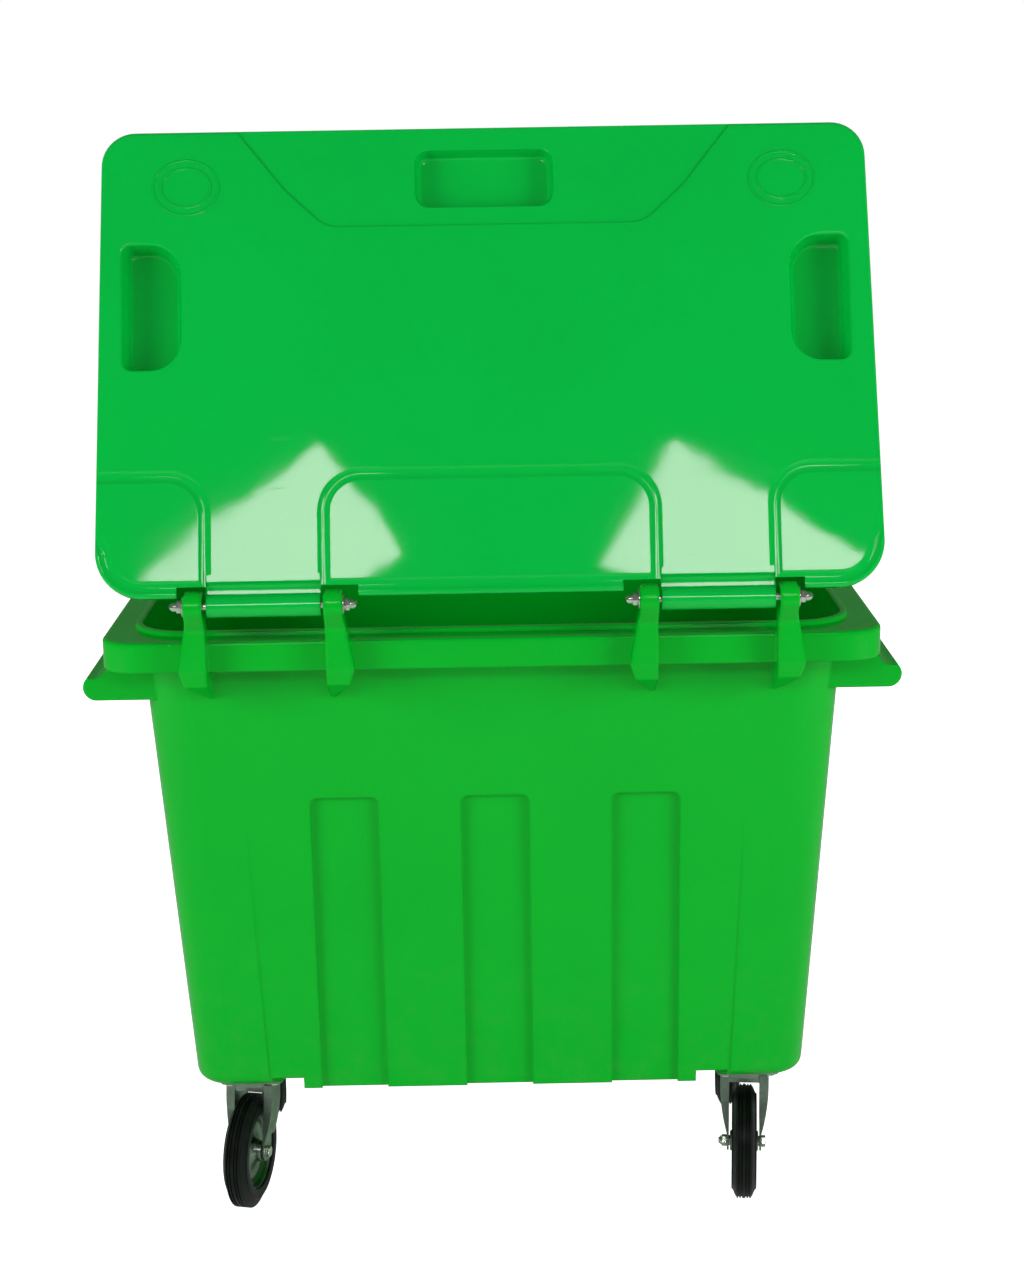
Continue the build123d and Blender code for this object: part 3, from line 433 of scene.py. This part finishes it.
def capNut(bm, place):
    # a domed nut along X, its seat at x = 0
    shape = capNutShape
    bore, flange, height = shape["bore"], shape["flange"], shape["flangeHeight"]
    nut = bmesh.new()
    hexPrism(nut, shape["flats"], height - 0.1, shape["hexLength"], shape["chamfer"])
    collar = [(bore, 0), (flange - 0.5, 0), (flange, 0.6), (flange - 0.4, height), (bore, height)]
    spin(nut, collar, shape["flangeSteps"])
    radius = shape["domeRadius"]
    base = shape["length"] - radius
    dome = [(0, shape["hexLength"] - 1), (radius, shape["hexLength"] - 1), (radius, base)]
    for ring in range(1, shape["domeRings"] + 1):
        angle = math.radians(90 * ring / shape["domeRings"])
        dome.append((radius * math.cos(angle), base + radius * math.sin(angle)))
    dome[-1] = (0, shape["length"])
    spin(nut, dome, shape["domeSteps"], closed=False)
    bmesh.ops.transform(nut, matrix=place, verts=nut.verts[:])
    joinInto(bm, nut)


def hingeEnds():
    # where each hinge washer sits on its arm, and the way it points
    low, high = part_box("hinge_pin_right")
    reach = capNutShape["length"] - capNutShape["pinEndGap"] + washerShape["thickness"]
    middle = (low + high) / 2
    ends = []
    for side in (1, -1):
        ends.append((Vector((side * (high.x - mm(reach)), middle.y, middle.z)), side))
        ends.append((Vector((side * (low.x + mm(reach)), middle.y, middle.z)), -side))
    return ends


def facing(place, way):
    turn = Matrix.Identity(4) if way > 0 else Matrix.Rotation(math.pi, 4, "Z")
    return Matrix.Translation(place) @ turn


def makeCapNuts():
    bm = bmesh.new()
    for place, way in hingeEnds():
        seat = place + Vector((way * mm(washerShape["thickness"]), 0, 0))
        capNut(bm, facing(seat, way))
    finishPiece("cap_nuts", bm, "tub", "fastener_zinc", ["hinge_cap_nuts"])


def makeWashers():
    shape = washerShape
    outer, inner, thick, edge = shape["outer"], shape["inner"], shape["thickness"], shape["round"]
    points = [(inner, 0.2), (inner + 0.2, 0), (outer - edge, 0), (outer - 0.2, edge * 0.4), (outer, edge)]
    points += [(outer, thick - edge), (outer - 0.2, thick - edge * 0.4), (outer - edge, thick)]
    points += [(inner + 0.2, thick), (inner, thick - 0.2)]
    bm = bmesh.new()
    for place, way in hingeEnds():
        one = bmesh.new()
        spin(one, points, 56)
        bmesh.ops.transform(one, matrix=facing(place, way), verts=one.verts[:])
        joinInto(bm, one)
    finishPiece("washers", bm, "tub", "fastener_zinc", ["hinge_washers"])


axleShape = {
    "flats": 18.0,
    "legFace": 30.5,
    "headLength": 7.5,
    "nutLength": 12.0,
    "endLength": 3.0,
    "radius": 6.0,
    "threadPitch": 1.5,
    "threadDepth": 0.6,
    "headChamfer": 1.1,
    "nutChamfer": 1.0,
    "steps": 40,
}


def makeAxle(corner):
    # bolt with a hexagon head on one side and a threaded end through the nut on the other
    shape = axleShape
    face, radius = shape["legFace"], shape["radius"]
    bm = bmesh.new()
    hexPrism(bm, shape["flats"], face, face + shape["headLength"], shape["headChamfer"])
    end = -face - shape["nutLength"] - shape["endLength"]
    line = [(0, face + 1), (radius, face + 1), (radius, -face - 1)]
    reach = -face - 1
    while reach - shape["threadPitch"] > end + 1:
        reach -= shape["threadPitch"] / 2
        line.append((radius - shape["threadDepth"], reach))
        reach -= shape["threadPitch"] / 2
        line.append((radius, reach))
    line += [(radius - 2 * shape["threadDepth"], end), (0, end)]
    spin(bm, line, shape["steps"], closed=False)
    bmesh.ops.transform(bm, matrix=wheelPlace(corner), verts=bm.verts[:])
    replaced = ["castor_axle_" + corner]
    finishPiece("axle_bolt_" + corner, bm, "castor_" + corner, "fastener_zinc", replaced, 30.0)


def makeAxleNut(corner):
    # a locking nut with its turned collar
    shape = axleShape
    face = shape["legFace"]
    bm = bmesh.new()
    hexPrism(bm, shape["flats"], -face - shape["nutLength"] + 3, -face, shape["nutChamfer"])
    collar = [(6.1, -face - 8.5), (8.2, -face - 8.5), (8.2, -face - 10.6)]
    collar += [(7.4, -face - 12), (6.1, -face - 12)]
    spin(bm, collar, shape["steps"])
    bmesh.ops.transform(bm, matrix=wheelPlace(corner), verts=bm.verts[:])
    replaced = ["castor_axle_nut_" + corner]
    finishPiece("axle_nut_" + corner, bm, "castor_" + corner, "fastener_zinc", replaced)


for corner in ("rear_left", "rear_right", "front_left", "front_right"):
    makeTyre(corner)
    makeDisc(corner)
    makeAxle(corner)
    makeAxleNut(corner)
print("castor wheels")
makeCapNuts()
makeWashers()
print("hinge fasteners")


studio = {
    "cameraPlace": (0.00844, -3.98743, 1.93993),
    "cameraTurn": (76.5494, 0.9052, -0.5896),
    "lens": 65.55,
    "backdrop": 1.0,
    "fill": 0.12,            # light from all round
    "floorGlow": 1.0,
    "floorHalf": 14.0,
    "floorTones": (0.86, 0.90),
    "boxColour": (1.0, 0.80, 0.97),
    # place, aim, roll in degrees, width, height, watts; only the soft boxes show as reflections
    "lights": {
        "box_left": ((-0.79, -4.6, 3.23), (-0.36, -0.33, 1.27), 40.0, 0.80, 0.50, 21.0),
        "box_right": ((0.87, -4.6, 3.22), (0.38, -0.33, 1.27), -35.0, 0.80, 0.50, 21.0),
        "key_left": ((-4.2, -2.6, 1.9), (0, 0, 0.9), 0.0, 2.2, 2.6, 134.0),
        "key_right": ((4.2, -2.6, 1.9), (0, 0, 0.9), 0.0, 2.2, 2.6, 134.0),
        "top": ((0.0, -0.6, 4.6), (0, 0, 0.9), 0.0, 2.6, 2.6, 10.0),
        "back": ((0.0, 4.4, 2.6), (0, 0, 0.9), 0.0, 2.6, 2.2, 55.0),
    },
}


def makeCamera():
    camera = bpy.data.objects.new("camera", bpy.data.cameras.new("camera"))
    camera.location = studio["cameraPlace"]
    camera.rotation_euler = [math.radians(turn) for turn in studio["cameraTurn"]]
    camera.data.lens = studio["lens"]
    camera.data.sensor_width = 36.0
    camera.data.clip_end = 100.0
    bpy.context.scene.collection.objects.link(camera)
    bpy.context.scene.camera = camera


def makeWorld():
    # white behind the bin, dimmer as a light, so that the plastic keeps its colour
    world = bpy.data.worlds.new("studio")
    world.use_nodes = True
    tree = world.node_tree
    seen = tree.nodes.new("ShaderNodeLightPath")
    level = tree.nodes.new("ShaderNodeMath")
    level.operation = "MULTIPLY_ADD"
    level.inputs[1].default_value = studio["backdrop"] - studio["fill"]
    level.inputs[2].default_value = studio["fill"]
    tree.links.new(seen.outputs["Is Camera Ray"], level.inputs[0])
    tree.links.new(level.outputs[0], tree.nodes["Background"].inputs["Strength"])
    tree.nodes["Background"].inputs["Color"].default_value = colour(1.0, 1.0, 1.0)
    bpy.context.scene.world = world


def makeLight(name, place, aim, roll, width, height, watts):
    light = bpy.data.lights.new(name, "AREA")
    light.shape = "RECTANGLE"
    light.size = width
    light.size_y = height
    light.energy = watts
    lamp = bpy.data.objects.new(name, light)
    lamp.visible_glossy = name.startswith("box")
    if lamp.visible_glossy:
        light.color = studio["boxColour"]
    lamp.location = place
    aimed = (Vector(aim) - Vector(place)).to_track_quat("-Z", "Y")
    lamp.rotation_euler = (aimed @ Quaternion((0, 0, 1), math.radians(roll))).to_euler()
    bpy.context.scene.collection.objects.link(lamp)


def makeFloor():
    bm = bmesh.new()
    bmesh.ops.create_grid(bm, x_segments=8, y_segments=8, size=studio["floorHalf"])
    mesh = bpy.data.meshes.new("floor")
    bm.to_mesh(mesh)
    bm.free()
    floor = bpy.data.objects.new("floor", mesh)
    bpy.context.scene.collection.objects.link(floor)
    shader = Shader("floor_paper")
    speck = shader.noise(60.0, 4.0)
    dark, pale = (colour(tone, tone, tone) for tone in studio["floorTones"])
    seen = shader.node("ShaderNodeLightPath")
    shader.set(
        Base_Color=shader.mix(speck, dark, pale),
        Roughness=0.9,
        # glows for the camera alone, so that it lights nothing
        Emission_Color=shader.mix(seen, colour(0, 0, 0), colour(1, 1, 1)),
        Emission_Strength=studio["floorGlow"],
    )
    mesh.materials.append(shader.material)


makeCamera()
makeWorld()
for name, light in studio["lights"].items():
    makeLight(name, *light)
makeFloor()
bpy.context.scene.view_settings.view_transform = "Standard"
print("studio")
